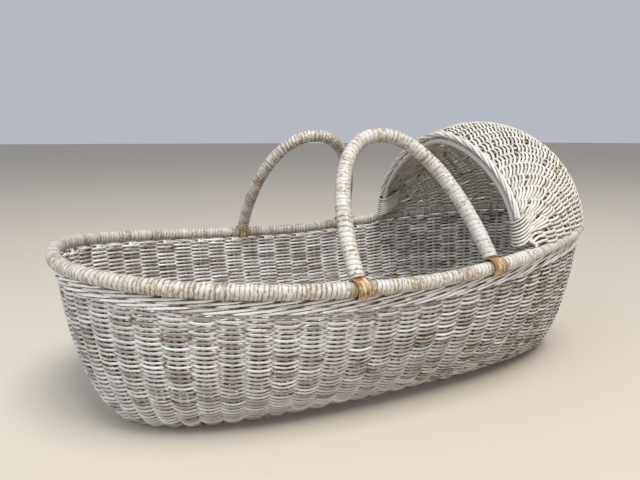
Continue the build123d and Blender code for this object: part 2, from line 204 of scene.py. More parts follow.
# %% [markdown]
# A piece also gets a UV map, with the first number running along the strand in metres, so that grain
# can follow the strand, and three attributes for the paint: how far the brush and the light reach a
# point, low values also giving a painted shadow in the gaps, how far it is rubbed, and how dull its
# tone is, which on the sides and the hood also holds a painted shade.

# %% Meshes and pieces
strand_shift = 0.37


def strand_uv(points, quads, place):
    """Metres along the strand, shifted from one strand to the next, and the share of the way round it."""
    strands, count, sides = points.shape[:3]
    middle = points.mean(2)
    step = np.linalg.norm(np.diff(middle, axis=1, append=middle[:, :1]), axis=-1)
    length = np.concatenate((np.zeros((strands, 1)), np.cumsum(step, 1)), 1) * MM
    strand = quads[:, :1] // (count * sides)
    along = length[strand, place[..., 0]] + strand_shift * strand
    return np.stack((along, place[..., 1] / sides), -1)


def piece(name, points, finish, nodes, look, body="basket", closed=False):
    """A mesh of tubes, points[strand, along, round], put into the scene as a piece on a body."""
    strands, count, sides = points.shape[:3]
    quads, place = wall_of_quads(strands, count, sides, closed)
    uv = strand_uv(points, quads, place)
    if not closed:
        ends = end_quads(strands, count, sides)
        quads = np.concatenate((quads, ends))
        uv = np.concatenate((uv, np.zeros((len(ends), 4, 2))))
    mesh = bpy.data.meshes.new(name)
    mesh.from_pydata(points.reshape(-1, 3) * MM, [], quads)
    mesh.uv_layers.new(name="strand").data.foreach_set("uv", uv.astype(np.float32).ravel())
    for key, value in look.items():
        full = np.broadcast_to(value, points.shape[:3]).astype(np.float32)
        mesh.attributes.new(key, "FLOAT", "POINT").data.foreach_set("value", full.ravel())
    mesh.shade_smooth()
    mesh.materials.append(finish)
    made = bpy.data.objects.new(name, mesh)
    bpy.context.scene.collection.objects.link(made)
    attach(made, body)
    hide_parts(*nodes)
    print(f"{name}: {strands} strands, {2 * len(quads)} triangles")


# %% Chance, as in hand work
rng = np.random.default_rng(7)
rub_spread, tone_spread, cane_spread = 0.1, 0.3, 0.07


def wander(rows, around, waves, size):
    """Smooth random wandering of closed rows: a few cosines of random height and start."""
    turn = np.linspace(0, 2 * np.pi, around, endpoint=False)
    k = np.arange(1, waves + 1)
    start = rng.uniform(0, 2 * np.pi, (rows, waves, 1))
    height = rng.normal(0, size / math.sqrt(waves), (rows, waves, 1))
    return np.sum(height * np.cos(k[:, None] * turn + start), 1)


def picked_canes(rows, radius):
    """A radius for every row, because no two canes are alike."""
    return radius * rng.normal(1, cane_spread, (rows, 1))


def spots(rows, floats, number, middle, spread):
    """One random number for every float of every row, given to the points by their float's number."""
    drawn = rng.normal(middle, spread, (rows, floats))
    number = np.broadcast_to(number, (rows, np.shape(number)[-1]))
    return np.take_along_axis(drawn, number, 1)[..., None]


def own_rub(strands, middle):
    """One random amount of rubbing for every strand."""
    return rng.normal(middle, rub_spread, (strands, 1, 1))


def own_tone(strands, middle):
    """One random tone for every strand, held between 0 and 1."""
    return np.clip(rng.normal(middle, tone_spread, (strands, 1, 1)), 0, 1)


print("each strand differs a little: thickness by", cane_spread, "rubbing by", rub_spread)

# %% [markdown]
# ## Paint on wicker
# The basket was painted cream white long ago. The paint sits where the brush could reach, on the
# crowns of the strands; in the gaps the cane stays tan, and where hands and handles rub it has worn
# through to brown. A picture could be painted for that, but it would not fit a thousand strands. So
# the finish is one node tree with a mask: an attribute says how far the brush reached a point, noise
# along the strand breaks the edge, and another attribute takes the rubbing away. Where the first
# attribute is low, a dark brown is mixed in as well: a painted shadow in the gaps and grooves.


# %% Small helpers for node trees
def add(tree, kind, values=None, **settings):
    """A node with its settings, its numbers set and its incoming sockets linked."""
    node = tree.nodes.new(kind)
    for key, value in settings.items():
        setattr(node, key, value)
    for key, value in (values or {}).items():
        if isinstance(value, bpy.types.NodeSocket):
            tree.links.new(value, node.inputs[key])
        else:
            node.inputs[key].default_value = value
    return node


def sums(tree, operation, first, second, clamp=False):
    """One step of arithmetic between sockets and numbers."""
    values = {0: first, 1: second}
    return add(tree, "ShaderNodeMath", values, operation=operation, use_clamp=clamp).outputs[0]


def blend_colours(tree, share, first, second):
    """Mix of two colours by a share."""
    return add(tree, "ShaderNodeMix", {0: share, 6: first, 7: second}, data_type="RGBA").outputs[2]


def noise(tree, vector, scale, detail):
    """Noise between 0 and 1 on some coordinates."""
    values = {"Vector": vector, "Scale": scale, "Detail": detail}
    return add(tree, "ShaderNodeTexNoise", values).outputs[0]


def attribute(tree, name):
    """One of the numbers that a mesh carries at its points."""
    return add(tree, "ShaderNodeAttribute", attribute_name=name).outputs["Fac"]


def colour(hexcode):
    """Linear colour of a hex code."""
    part = np.array([int(hexcode[i : i + 2], 16) for i in (0, 2, 4)]) / 255
    linear = np.where(part <= 0.04045, part / 12.92, ((part + 0.055) / 1.055) ** 2.4)
    return (*linear.tolist(), 1.0)


# %% Painted cane
fibre_share, fleck_share, noise_middle, paint_edge = 0.9, 0.5, 1.2, 0.24
fleck_scale, gap_shadow, bare_roughness = 420.0, "3a2a1c", 0.62


def coat_of_paint(tree, opening, fibre, patch, fleck, cover, wear, soft):
    """Mask = cover openness + wear (0.9 fibre + patch + 0.5 fleck - 1.2) - rub, stepped softly at 0.24."""
    mixed = sums(tree, "ADD", sums(tree, "MULTIPLY", fibre, fibre_share), patch)
    mixed = sums(tree, "ADD", mixed, sums(tree, "MULTIPLY", fleck, fleck_share))
    mixed = sums(tree, "MULTIPLY", sums(tree, "SUBTRACT", mixed, noise_middle), wear)
    mask = sums(tree, "ADD", sums(tree, "MULTIPLY", opening, cover), mixed)
    mask = sums(tree, "SUBTRACT", mask, attribute(tree, "rub"))
    ends = {"Value": mask, "From Min": paint_edge - soft / 2, "From Max": paint_edge + soft / 2}
    return add(tree, "ShaderNodeMapRange", ends, interpolation_type="SMOOTHSTEP").outputs[0]


def painted_cane(
    name, paint, shade, cane, dark, cover=1.0, wear=2.0, streak=(60, 3), grain=70.0, gloss=0.42, soft=0.4
):
    """Paint by tone where the coat is whole, streaked cane where it is gone, painted shadow in the gaps."""
    made = bpy.data.materials.new(name)
    made.use_nodes = True
    tree = made.node_tree
    shader = tree.nodes["Principled BSDF"].inputs
    place = add(tree, "ShaderNodeTexCoord").outputs
    along = add(tree, "ShaderNodeMapping", {"Vector": place["UV"], "Scale": (*streak, 1)}).outputs[0]
    fibre, patch = noise(tree, along, 1.0, 5.0), noise(tree, place["Object"], grain, 5.0)
    fleck = noise(tree, place["Object"], fleck_scale, 3.0)
    opening = attribute(tree, "open_to_brush_and_light")
    coat = coat_of_paint(tree, opening, fibre, patch, fleck, cover, wear, soft)
    # Tone mixes in the darker shade colour: random dullness, and on the sides and hood a painted shade.
    tone = sums(tree, "MULTIPLY", attribute(tree, "tone"), 0.7, True)
    pale = blend_colours(tree, tone, colour(paint), colour(shade))
    bare = blend_colours(tree, fibre, colour(dark), colour(cane))
    # Painted shadow: below an openness of 0.5 the colour goes towards dark brown, 85 % of it at 0.18.
    ends = {"Value": opening, "From Min": 0.50, "From Max": 0.18, "To Max": 0.85}
    painted_gap_shade = add(tree, "ShaderNodeMapRange", ends).outputs[0]
    skin = blend_colours(tree, painted_gap_shade, blend_colours(tree, coat, bare, pale), colour(gap_shadow))
    tree.links.new(skin, shader["Base Color"])
    rough = add(tree, "ShaderNodeMapRange", {"Value": coat, "To Min": bare_roughness, "To Max": gloss})
    rough = sums(tree, "ADD", rough.outputs[0], sums(tree, "MULTIPLY", fleck, 0.12))
    tree.links.new(rough, shader["Roughness"])
    height = sums(tree, "ADD", sums(tree, "MULTIPLY", coat, 0.6), fibre)
    relief = add(tree, "ShaderNodeBump", {"Height": height, "Strength": 0.4, "Distance": 0.0006})
    tree.links.new(relief.outputs[0], shader["Normal"])
    shader["Specular IOR Level"].default_value = 0.42
    print(f"finish {name}: {len(tree.nodes)} nodes")
    return made


# %% The finishes: paint, its dull tone, bare cane and its dark streaks, and greyer paints as painted shade
weave_paint = painted_cane("painted_weave", "f3f0ec", "8f8479", "a58762", "5c452f", wear=1.5)
# The hood's and the lapping's paints are greyer than the sides' white: painted shade that dims them.
hood_paint = painted_cane("painted_hood_weave", "dedad2", "a99f8e", "b3966f", "6a5138", wear=1.4)
base_paint = painted_cane("painted_base_weave", "e4dfd3", "c8bca5", "a98b66", "60472f", wear=1.7)
stake_paint = painted_cane(
    "painted_stakes", "e6e1d8", "cbbfa9", "a08259", "553e26", cover=0.95, streak=(30, 3)
)
lap_paint = painted_cane(
    "painted_lapping", "cdc8c2", "b3a999", "b2a086", "857058",
    wear=2.1, streak=(420, 3), grain=230.0, gloss=0.34, soft=0.6,
)
# The bow's paint is greyer still, a painted shade on the bow.
shaded_bow_paint = painted_cane("painted_bow_in_shade", "cdc8c3", "b3aca4", "a58a66", "6a5138", wear=1.2, streak=(20, 3))
bare_cane = painted_cane("bare_cane", "d8c6a4", "c2a273", "ad7c3e", "6b4521", streak=(40, 3), soft=0.6)
core_cane = painted_cane("core_rattan", "d0b98c", "bea376", "b08a55", "7c5a33", streak=(20, 3))

# %% [markdown]
# ## The wall's curve
# In the plane of a place the wall's outside is a quarter of an ellipse with a little flare. The rows
# of weaving are spread along it by length, the lowest a little wider apart than the rest. The layers
# inside it are found by moving in, square to the curve. A shell could be given its thickness by a
# modifier, but strands need the depth at every point.

# %% The wall's curve and its layers
wall_flare, wall_steps = 0.14, 120


def wall_curve(place, turn):
    """out = run (0.86 sin + 0.14 (1 - cos) - 1), up = z (1 - cos), with the unit normal inwards."""
    out = place.run * ((1 - wall_flare) * np.sin(turn) + wall_flare * (1 - np.cos(turn)) - 1)
    up = place.z * (1 - np.cos(turn))
    d_out = place.run * ((1 - wall_flare) * np.cos(turn) + wall_flare * np.sin(turn))
    d_up = place.z * np.sin(turn)
    length = np.hypot(d_out, d_up)
    return out, up, -d_up / length, d_out / length


def wall_turns(place, share, drop):
    """Turn at each share of the wall's length, up to a drop below the rim, by a table of lengths."""
    top = np.arccos(drop / place.z)
    part = np.linspace(0, 1, wall_steps + 1)
    out, up, _, _ = wall_curve(Place(*(v[:, None] for v in place)), top[:, None] * part)
    step = np.hypot(np.diff(out, axis=1, prepend=out[:, :1]), np.diff(up, axis=1, prepend=0))
    length = np.cumsum(step, 1)
    length = length / length[:, -1:]
    goal = np.broadcast_to(share, (len(share), len(top))).T
    k = np.clip((length[:, None, :] <= goal[:, :, None]).sum(-1) - 1, 0, wall_steps - 1)
    low, high = np.take_along_axis(length, k, 1), np.take_along_axis(length, k + 1, 1)
    return (top[:, None] * (k + (goal - low) / (high - low)) / wall_steps).T


def on_wall(place, turn, depth):
    """Points of the wall at a depth inside its outer face, and the direction out of the wall there."""
    out, up, in_out, in_up = wall_curve(place, turn)
    out, up = out + depth * in_out, up + depth * in_up
    points = np.stack((place.x + out * place.out_x, place.y + out * place.out_y, up + 0 * out), -1)
    facing = np.stack((-in_out * place.out_x, -in_out * place.out_y, -in_up + 0 * out), -1)
    return points, facing


stakes, stake_depth, stake_radius, per_gap = 66, 5.8, 2.45, 6
round_fraction = np.arange(stakes * per_gap) / (stakes * per_gap)
round_place = places(round_fraction)
round_float = np.rint(stakes * round_fraction).astype(int) % stakes
print("wall places", len(round_fraction))

# %% [markdown]
# ## The plain weave of the sides
# Randing is the basket maker's name for it: each weaver goes outside one stake and inside the next,
# and the rows take turns. A cosine of the place round the rim, with half a wave for every gap
# between stakes, is that path. The rows wander a little, as hand work does. A bump map would be
# lighter, but would show neither the gaps nor the ragged outline.

# %% The rows of the sides
row_count, lower_rows, row_power, first_row = 69, 34, 0.95, 0.45
swing, weaver_radius, weaver_flat, under_rim = 4.3, 1.42, 1.13, 1.5
flank_fullness = 0.14
depth_waves, depth_wander, turn_waves, turn_wander = 24, 0.22, 30, 0.0013


def in_and_out(phase):
    """Path of a weaver past the stakes: cos (1.14 - 0.14 cos^2), a cosine with fuller flanks."""
    return np.cos(phase) * (1 + flank_fullness - flank_fullness * np.cos(phase) ** 2)


row = np.arange(row_count)
share = ((row + first_row) / row_count) ** row_power
turn = wall_turns(round_place, share[:, None], round_place.roll + under_rim)
wave = in_and_out(np.pi * (stakes * round_fraction[None, :] + row[:, None]))
around = len(round_fraction)
depth = stake_depth - swing * wave + wander(row_count, around, depth_waves, depth_wander)
turn = turn + wander(row_count, around, turn_waves, turn_wander)
centre, facing = on_wall(round_place, turn, depth)
thick = picked_canes(row_count, weaver_radius)
centre[..., 2] = np.maximum(centre[..., 2], thick + 0.1)
rings, cosine = tube(centre, facing, thick, closed=True, flat=weaver_flat)
print(f"sides: {row_count} rows past {stakes} stakes")

# %% [markdown]
# The crown of a float is where the brush reaches. Its other face lies at the bottom of a hollow, which
# gets a painted shadow: seen from outside the hollows are dark all along, seen from inside only beside
# the stakes. The tone adds 0.8 of the crown, so the crowns take more of the darker shade colour, a
# painted shade that dims the wall.


# %% Paint on the sides
def crowning(wave, cosine, lowest=-1.0):
    """Wave times the ring's cosine: 1 on the crown of a float, and low on the face behind it."""
    return np.clip(wave[..., None] * cosine, lowest, 1)


crown = crowning(wave, cosine)
inside_float = wave[..., None] < 0
hollow = np.where(inside_float, 1.1 * np.abs(crown) ** 1.2, 0.9 * np.abs(crown) ** 2.2)
worn_to_head = 0.2 * np.clip(round_place.x / 250, -0.15, 1)[None, :, None] * (wave[..., None] > 0)
look = {
    # Low openness in the hollows gives a painted shadow; 0.8 of the crown in the tone is painted shade.
    "open_to_brush_and_light": 0.44 + 0.38 * np.where(crown > 0, crown, -hollow),
    "rub": spots(row_count, stakes, round_float, 0.0, 0.12) + worn_to_head,
    "tone": spots(row_count, stakes, round_float, 0.3, 0.3) + 0.8 * crown,
}
siding_nodes = ("siding_outer", "siding_inner")
for band, first, last in (("lower", 0, lower_rows), ("upper", lower_rows, row_count)):
    for parity, start in (("even", first), ("odd", first + 1)):
        part = {k: np.broadcast_to(v, rings.shape[:3])[start:last:2] for k, v in look.items()}
        piece(f"{band}_{parity}_rows", rings[start:last:2], weave_paint, siding_nodes, part, closed=True)

# %% [markdown]
# ## The stakes
# The upright rods show in the gaps of the weave. Each comes from under the floor, turns round the
# edge of the base and goes up to the rim. It is one strand with two stretches, joined as arrays, so
# that no seam shows at the bend. Near a handle's foot it ends lower, clear of the cane that turns there.

# %% Inner edge of the base's rounds
base_shrink_x, base_shrink_y = 0.241, 0.7455


def on_base(place, inward, level):
    """Point of the base's edge drawn in towards the middle: x by up to 24 %, y by up to 75 %."""
    edge_x = place.x - place.run * place.out_x
    edge_y = place.y - place.run * place.out_y
    x = base_middle + (edge_x - base_middle) * (1 - base_shrink_x * inward)
    y = edge_y * (1 - base_shrink_y * inward)
    return np.stack((x, y, level + 0 * x), -1)


def facing_down(points):
    """The direction straight down, at every point."""
    return np.broadcast_to(np.array([0.0, 0.0, -1.0]), points.shape)


print(f"the rounds leave {1 - base_shrink_y:.0%} of the base's width to the long sticks")

# %% The handles' four feet on the rim
foot_x, foot_run = np.array([-91.0, 100.0]), 26.0
run_ends = places(fraction_at(foot_x)[:, None] + np.array([-0.5, 0.5]) * foot_run / rim_length)
left_feet = np.stack((run_ends.x.mean(1), run_ends.y.mean(1), run_ends.z.mean(1)), -1)
feet = np.concatenate((left_feet, left_feet * (1, -1, 1)))
print("handle feet", feet.round(1).tolist())


def to_nearest_foot(points):
    """Distance of points from the nearest of the four feet."""
    return np.linalg.norm(points[:, None] - feet[None], axis=-1).min(1)


# %% The side stakes
usual_drop, drop_at_foot, foot_zone = 1.0, 5.6, 16.0
stake_place = places(np.arange(stakes) / stakes)
stake_top = np.stack((stake_place.x, stake_place.y, stake_place.z), -1)
drop = np.where(to_nearest_foot(stake_top) < foot_zone, drop_at_foot, usual_drop)
stake_share = np.linspace(0.03, 1.0, 22)
stake_turn = wall_turns(stake_place, stake_share[:, None], stake_place.roll + drop)
up_wall, stake_facing = on_wall(stake_place, stake_turn, stake_depth)
tail_inward = np.linspace(0.93, 0.04, 7)
tail = on_base(stake_place, tail_inward[:, None], stake_depth)
centre = np.concatenate((tail, up_wall)).transpose(1, 0, 2)
facing = np.concatenate((facing_down(tail), stake_facing)).transpose(1, 0, 2)
rings, cosine = tube(centre, facing, stake_radius)
look = {
    "open_to_brush_and_light": 0.47 + 0.12 * np.abs(cosine),
    "rub": own_rub(stakes, 0.0),
    "tone": own_tone(stakes, 0.4),
}
piece("woven_in_stakes", rings, stake_paint, ("side_stakes",), look)

# %% [markdown]
# ## The wale under the rim
# Two rounds of three rods are worked over the top rows: each rod passes outside two stakes, dips into
# the weave at the third, and climbs over the other two of its round as it goes. A table of out and in,
# three stakes long, with a smooth step between its entries, gives the path; a plain cosine could not
# stay outside for two stakes and inside for one.

# %% Two rounds of waling
rods, rods_in_round, rod_radius = 6, 3, 1.62
rod_climb, wale_middle, rod_depth, rod_swing = 3.9, 9.3, 2.2, 1.8


def smooth_table(table, position):
    """Value between the entries of a closed table, eased from one entry to the next by a half cosine."""
    k = np.floor(position).astype(int)
    ease = 0.5 - 0.5 * np.cos(np.pi * (position - k))
    size = len(table)
    return table[k % size] * (1 - ease) + table[(k + 1) % size] * ease


rod = np.arange(rods)[:, None]
position = stakes * round_fraction[None, :] - rod - 0.5 * (rod // rods_in_round)
wave = smooth_table(np.array([1.0, 1.0, -1.0]), position)
stage_of_climb = np.mod(position + 0.5, 3.0) - 0.5
climb = np.interp(stage_of_climb, [-0.5, 1.5, 2.5], [-rod_climb, rod_climb, -rod_climb])
level = np.where(rod < rods_in_round, rod_climb, -rod_climb)
wale_drop = round_place.roll + wale_middle - climb - level
wale_turn = np.arccos(wale_drop / round_place.z)
centre, facing = on_wall(round_place, wale_turn, rod_depth - rod_swing * wave)
rings, cosine = tube(centre, facing, rod_radius, closed=True)
look = {
    # Faces of the rods turned into the weave get low openness: less paint and a painted shadow.
    "open_to_brush_and_light": 0.35 + 0.50 * crowning(wave, cosine, -0.15),
    "rub": spots(rods, stakes, round_float, 0.05, 0.12),
    "tone": spots(rods, stakes, round_float, 0.2, 0.3),
}
piece("wale_rods", rings, weave_paint, ("top_wale",), look, closed=True)

# %% [markdown]
# ## The woven base
# The floor is worked in rounds over the stake tails, outward from a band of long sticks. The rounds
# nearest to the sticks take the tails in pairs. Across the sticks go short weavers. All of them are
# the same cosine as on the sides, so a flat grid of tubes is enough.

# %% Rounds of the base
round_count, base_swing, base_radius, base_sides = 25, 4.2, 1.5, 6
base_nodes = ("base_weave_under", "base_weave_over")


def base_look(wave, cosine):
    """Base weavers: paint on the crowns, painted shadow behind, a rub and a tone for every weaver."""
    return {
        "open_to_brush_and_light": 0.46 + 0.36 * crowning(wave, cosine, -0.6),
        "rub": own_rub(len(wave), 0.0),
        "tone": own_tone(len(wave), 0.5),
    }


number = np.arange(round_count)[:, None]
inward = (number + 0.35) / round_count
paired = inward > 0.5
tails = np.where(paired, stakes / 2, stakes)
wave = np.cos(np.pi * (tails * (round_fraction[None, :] + 0.25 / stakes * paired) + number))
centre = on_base(round_place, inward, stake_depth - base_swing * wave)
rings, cosine = tube(centre, facing_down(centre), base_radius, base_sides, closed=True)
piece("base_rounds", rings, base_paint, base_nodes, base_look(wave, cosine), closed=True)

# %% Long sticks and the short weavers across them
stick_from, stick_to, stick_gap = -236.0, 270.0, 12.0
cross_pitch, cross_half = 3.4, 29.0
stick_y = np.arange(-2, 3) * stick_gap
stick_x = np.linspace(stick_from, stick_to, 24)
centre = np.stack(np.broadcast_arrays(stick_x[None, :], stick_y[:, None], stake_depth), -1)
rings, _ = tube(centre, facing_down(centre), stake_radius)
look = {"open_to_brush_and_light": 0.5, "rub": 0.1, "tone": 0.5}
piece("long_base_sticks", rings, stake_paint, ("base_sticks",), look)

cross_x = np.arange(stick_from, stick_to + 1, cross_pitch)[:, None]
cross_y = np.linspace(-cross_half, cross_half, 41)[None, :]
wave = np.cos(np.pi * (cross_y / stick_gap + np.arange(len(cross_x))[:, None]))
centre = np.stack(np.broadcast_arrays(cross_x, cross_y, stake_depth - base_swing * wave), -1)
rings, cosine = tube(centre, facing_down(centre), base_radius, base_sides)
piece("base_cross_weavers", rings, base_paint, base_nodes, base_look(wave, cosine))

# %% [markdown]
# ## Lapping
# The rim and the handles are rods wrapped edge to edge with split cane. A helix of flat tubes would
# leave hidden faces between the laps, so lapping is one surface of two parameters: the distance along
# the rod and the angle round it. Their sum, in laps, climbs by one at each turn; its whole part
# numbers the lap and its fraction says where the point lies across it, so a rounded step of that
# fraction raises every lap and leaves a groove between two.

# %% Lapped rods
lap_spread, lap_lift_spread, lap_tilt, points_in_lap = 0.22, 0.11, 0.3, 7


def along_line(values, length, where):
    """Values of a line's points, a row of numbers for each, read at other distances along it."""
    return np.stack([np.interp(where, length, values[:, k]) for k in range(3)], -1)[None]


def lapped(centre, outward, radius, pitch, sides, relief, seed):
    """Radius r + relief (0.4 - |2 f - 1|^3.2) + 0.3 (f - 1/2) + the lap's own lift, f = fraction of lap."""
    draw = np.random.default_rng(seed)
    length = np.r_[0, np.cumsum(np.linalg.norm(np.diff(centre, axis=0), axis=-1))]
    laps = int(round(length[-1] / pitch))
    where = np.linspace(0, length[-1], laps * points_in_lap + 1)
    path, facing = along_line(centre, length, where), along_line(outward, length, where)
    radius = np.interp(where, length, np.broadcast_to(radius, len(centre)))[:, None]
    width = np.clip(draw.normal(1, lap_spread, laps + 8), 0.5, 1.7)
    bound = np.r_[0, np.cumsum(width)] * (laps + 2) / width.sum()
    turned = where[:, None] / length[-1] * laps + 1.0 + np.arange(sides)[None, :] / sides
    lap = np.interp(turned, bound, np.arange(len(bound)))
    number = np.floor(lap).astype(int)
    f = lap - number
    own = draw.normal(0, lap_lift_spread, len(bound) + 2)[number]
    lift = relief * (0.4 - np.abs(2 * f - 1) ** 3.2) + lap_tilt * (f - 0.5) + own
    rings, _ = tube(path, facing, 1.0, sides)
    rings = path[:, :, None] + (rings - path[:, :, None]) * (radius + lift)[None, :, :, None]
    crest = 1 - np.abs(2 * f - 1) ** 2.6
    tone = np.clip(draw.normal(0.35, tone_spread, len(bound) + 2), 0, 1)[number]
    return rings, crest[None], tone[None], path[0]


# %% The rim's two rolls
Roll = namedtuple("Roll", "name node start end radius pitch sides seed")
rolls = (
    Roll("lapped_rim", "rim_lapping", rim_end, 1 - rim_end, rim_roll, 5.3, 24, 11),
    Roll("lapped_head_rim", "head_rim_lapping", -rim_end, rim_end, head_roll, 4.9, 20, 12),
)
rim_relief, rubbed_reach, swell_at_hood = 0.6, 17.0, 0.7


def rim_path(start, end, count):
    """Rim's centre line between two fractions, with the direction out of the basket."""
    place = places(np.linspace(start, end, count))
    points = np.stack((place.x, place.y, place.z), -1)
    return points, np.stack((place.out_x, place.out_y, 0 * place.x), -1)


for roll in rolls:
    line, outward = rim_path(roll.start, roll.end, 900)
    swell = swell_at_hood * np.clip((line[:, 0] - foot_x[1]) / 12, 0, 1) * (roll.node == "rim_lapping")
    rings, crest, tone, path = lapped(
        line, outward, roll.radius + swell, roll.pitch, roll.sides, rim_relief, roll.seed
    )
    at_feet = 0.5 * np.exp(-((to_nearest_foot(path) / rubbed_reach) ** 2))
    between_feet = 0.17 * np.clip(1.35 - np.abs(path[:, 0] - foot_x.mean()) / 95, 0, 1)
    on_top = 0.06 * np.clip(rings[..., 2] - path[None, :, None, 2], 0, None) / roll.radius
    worn = (at_feet + between_feet)[None, :, None] + wander(1, len(path), 60, 0.22)[..., None]
    # Openness follows each lap's crest: the grooves between laps get less paint and a painted shadow.
    look = {"open_to_brush_and_light": 0.24 + 0.38 * crest, "rub": worn + on_top, "tone": tone}
    piece(roll.name, rings, lap_paint, (roll.node,), look)

# %% [markdown]
# ## The handles
# Each handle is a hoop, a superellipse in a plane that leans in over the basket, lapped like the rim.
# Its feet are bare cane wound three times round the rim, so that the handle swings on it. Both are
# worked out in the handle's own three directions, so that one function serves the two sides.

# %% Handle frames
Handle = namedtuple("Handle", "front rear middle half_chord along up out")
handle_lean = math.radians(34.5)


def handle_frame(front, rear, side):
    """Directions of a hoop: along the rim, up the leaning hoop, and out of its plane."""
    along = unit(rear - front)
    rough = np.array([0, -side * math.sin(handle_lean), math.cos(handle_lean)])
    up = unit(rough - along * (rough @ along))
    half_chord = np.linalg.norm(rear - front) / 2
    return Handle(front, rear, (front + rear) / 2, half_chord, along, up, np.cross(up, along) * side)


handles = {
    "left": handle_frame(feet[0], feet[1], 1),
    "right": handle_frame(feet[2], feet[3], -1),
}
print("handle feet are", round(2 * handles["left"].half_chord, 1), "mm apart")

# %% The lapped hoops
hoop_height, hoop_radius, hoop_squareness, hoop_relief = 197.0, 9.25, 2.13, 0.5
hoop_pitch, hoop_sides, first_hoop_seed = 6.0, 22, 21
winding_radius, leg_clearance = 11.0, 1.2
hoop_wear = {"left": 0.24, "right": 0.0}


def hoop_path(handle, leg_start, count):
    """Hoop in its plane: along = half chord |cos|^(2/2.13), up = 197 sin^(2/2.13), from leg to leg."""
    power = 2 / hoop_squareness
    start = math.asin((leg_start / hoop_height) ** (1 / power))
    angle = np.linspace(start, np.pi - start, count)
    along = handle.half_chord * signed_power(np.cos(angle), power)
    up = hoop_height * np.sin(angle) ** power
    return handle.middle + along[:, None] * handle.along + up[:, None] * handle.up


for k, (side, handle) in enumerate(handles.items()):
    path = hoop_path(handle, winding_radius + leg_clearance, 700)
    facing = np.broadcast_to(handle.out, path.shape)
    rings, crest, tone, line = lapped(
        path, facing, hoop_radius, hoop_pitch, hoop_sides, hoop_relief, first_hoop_seed + k
    )
    near_leg = 0.15 * np.exp(-((to_nearest_foot(line) / 22) ** 2))
    handled = 0.14 * ((line - handle.middle) @ handle.up / hoop_height) ** 2
    worn = wander(1, len(line), 20, 0.16) + handled + hoop_wear[side] + near_leg
    # Openness follows each lap's crest: the grooves between laps get less paint and a painted shadow.
    look = {"open_to_brush_and_light": 0.24 + 0.50 * crest, "rub": worn[..., None], "tone": tone}
    nodes = (f"{side}_handle_lapping",)
    piece(f"{side}_lapped_hoop", rings, lap_paint, nodes, look, f"{side}_handle")

# %% Cane windings at the handles' feet
winding_turns, winding_pitch, winding_half, winding_flat = 3, 5.0, 1.4, 1.72
winding_wear = {"front": 0.34, "rear": 0.46}


def winding(handle, foot):
    """Helix of three turns round the rim: radius 11, 5 mm to a turn, both ends under the leg."""
    angle = np.linspace(0, 2 * np.pi * winding_turns, 110)
    along = winding_pitch * (angle / (2 * np.pi) - winding_turns / 2)
    spoke = np.sin(angle)[:, None] * handle.out + np.cos(angle)[:, None] * handle.up
    return foot + along[:, None] * handle.along + winding_radius * spoke, spoke


for side, handle in handles.items():
    for end, foot in (("front", handle.front), ("rear", handle.rear)):
        path, spoke = winding(handle, foot)
        rings, cosine = tube(path[None], spoke[None], winding_half, 12, flat=winding_flat)
        look = {"open_to_brush_and_light": 0.46 + 0.1 * cosine, "rub": winding_wear[end], "tone": 0.6}
        nodes = (f"{side}_{end}_winding",)
        piece(f"{side}_{end}_cane_winding", rings, bare_cane, nodes, look, f"{side}_handle")

# %% [markdown]
# ## The hood
# The hood is a shell of hoops that turn about the line through the two feet of the front bow, like
# the ribs of a fan, from the head rim up and over to the front. Its stakes cross them from the rim to
# the bow. A point is named by its rise, 0 at the rim and 1 at the bow, and by its gap, 0 to 28 along
# the hoop. Blending the rim into the bow in this way meets both edges exactly, as no scaled sphere does.

# %% Hoops of the hood
hood_lift, hood_gaps = head_roll + 0.3, 28
bow_half_width, bow_height, bow_power, bow_angle = 177.0, 145.0, 1.2, math.radians(91)
reach_power, small_gap = 1.7, 0.05
pivot_z = float(rim_level(np.array(hood_front))) + hood_lift
head_rise = float(rim_level(np.array(head_end))) + hood_lift - pivot_z
head_reach = math.hypot(head_end - hood_front, head_rise)
low_angle = math.atan2(head_rise, head_end - hood_front)


def hoop_flat(rise, gap):
    """Blend of the head rim and the front bow, in the plane of the hoop: across, and out from the feet."""
    place = places(hood_fraction * (1 - 2 * gap / hood_gaps))
    rim_out = np.hypot(place.x - hood_front, place.z + hood_lift - pivot_z)
    angle = np.pi * gap / hood_gaps
    bow_across = bow_half_width * signed_power(np.cos(angle), bow_power)
    reach = head_reach + (bow_height - head_reach) * rise**reach_power
    across = (1 - rise) * place.y + rise * bow_across
    return across, reach * ((1 - rise) * rim_out / head_reach + rise * np.sin(angle))


def on_hood(rise, gap, offset=0.0, ahead=0.0):
    """Point of a hoop, moved outward in its plane and ahead of it, in the basket's frame."""
    rise, gap = np.broadcast_arrays(np.asarray(rise, float), np.asarray(gap, float))
    across, out = hoop_flat(rise, gap)
    (a0, o0), (a1, o1) = hoop_flat(rise, gap - small_gap), hoop_flat(rise, gap + small_gap)
    step = np.hypot(a1 - a0, o1 - o0)
    normal_across, normal_out = (o1 - o0) / step, -(a1 - a0) / step
    across, out = across + offset * normal_across, out + offset * normal_out
    angle = low_angle + (bow_angle - low_angle) * rise
    x = hood_front + out * np.cos(angle) - ahead * np.sin(angle)
    z = pivot_z + out * np.sin(angle) + ahead * np.cos(angle)
    facing = np.stack((normal_out * np.cos(angle), normal_across, normal_out * np.sin(angle)), -1)
    return np.stack((x, across, z), -1), facing


print(f"the hood's hoops turn from {math.degrees(low_angle):.1f} to {math.degrees(bow_angle):.1f} degrees")

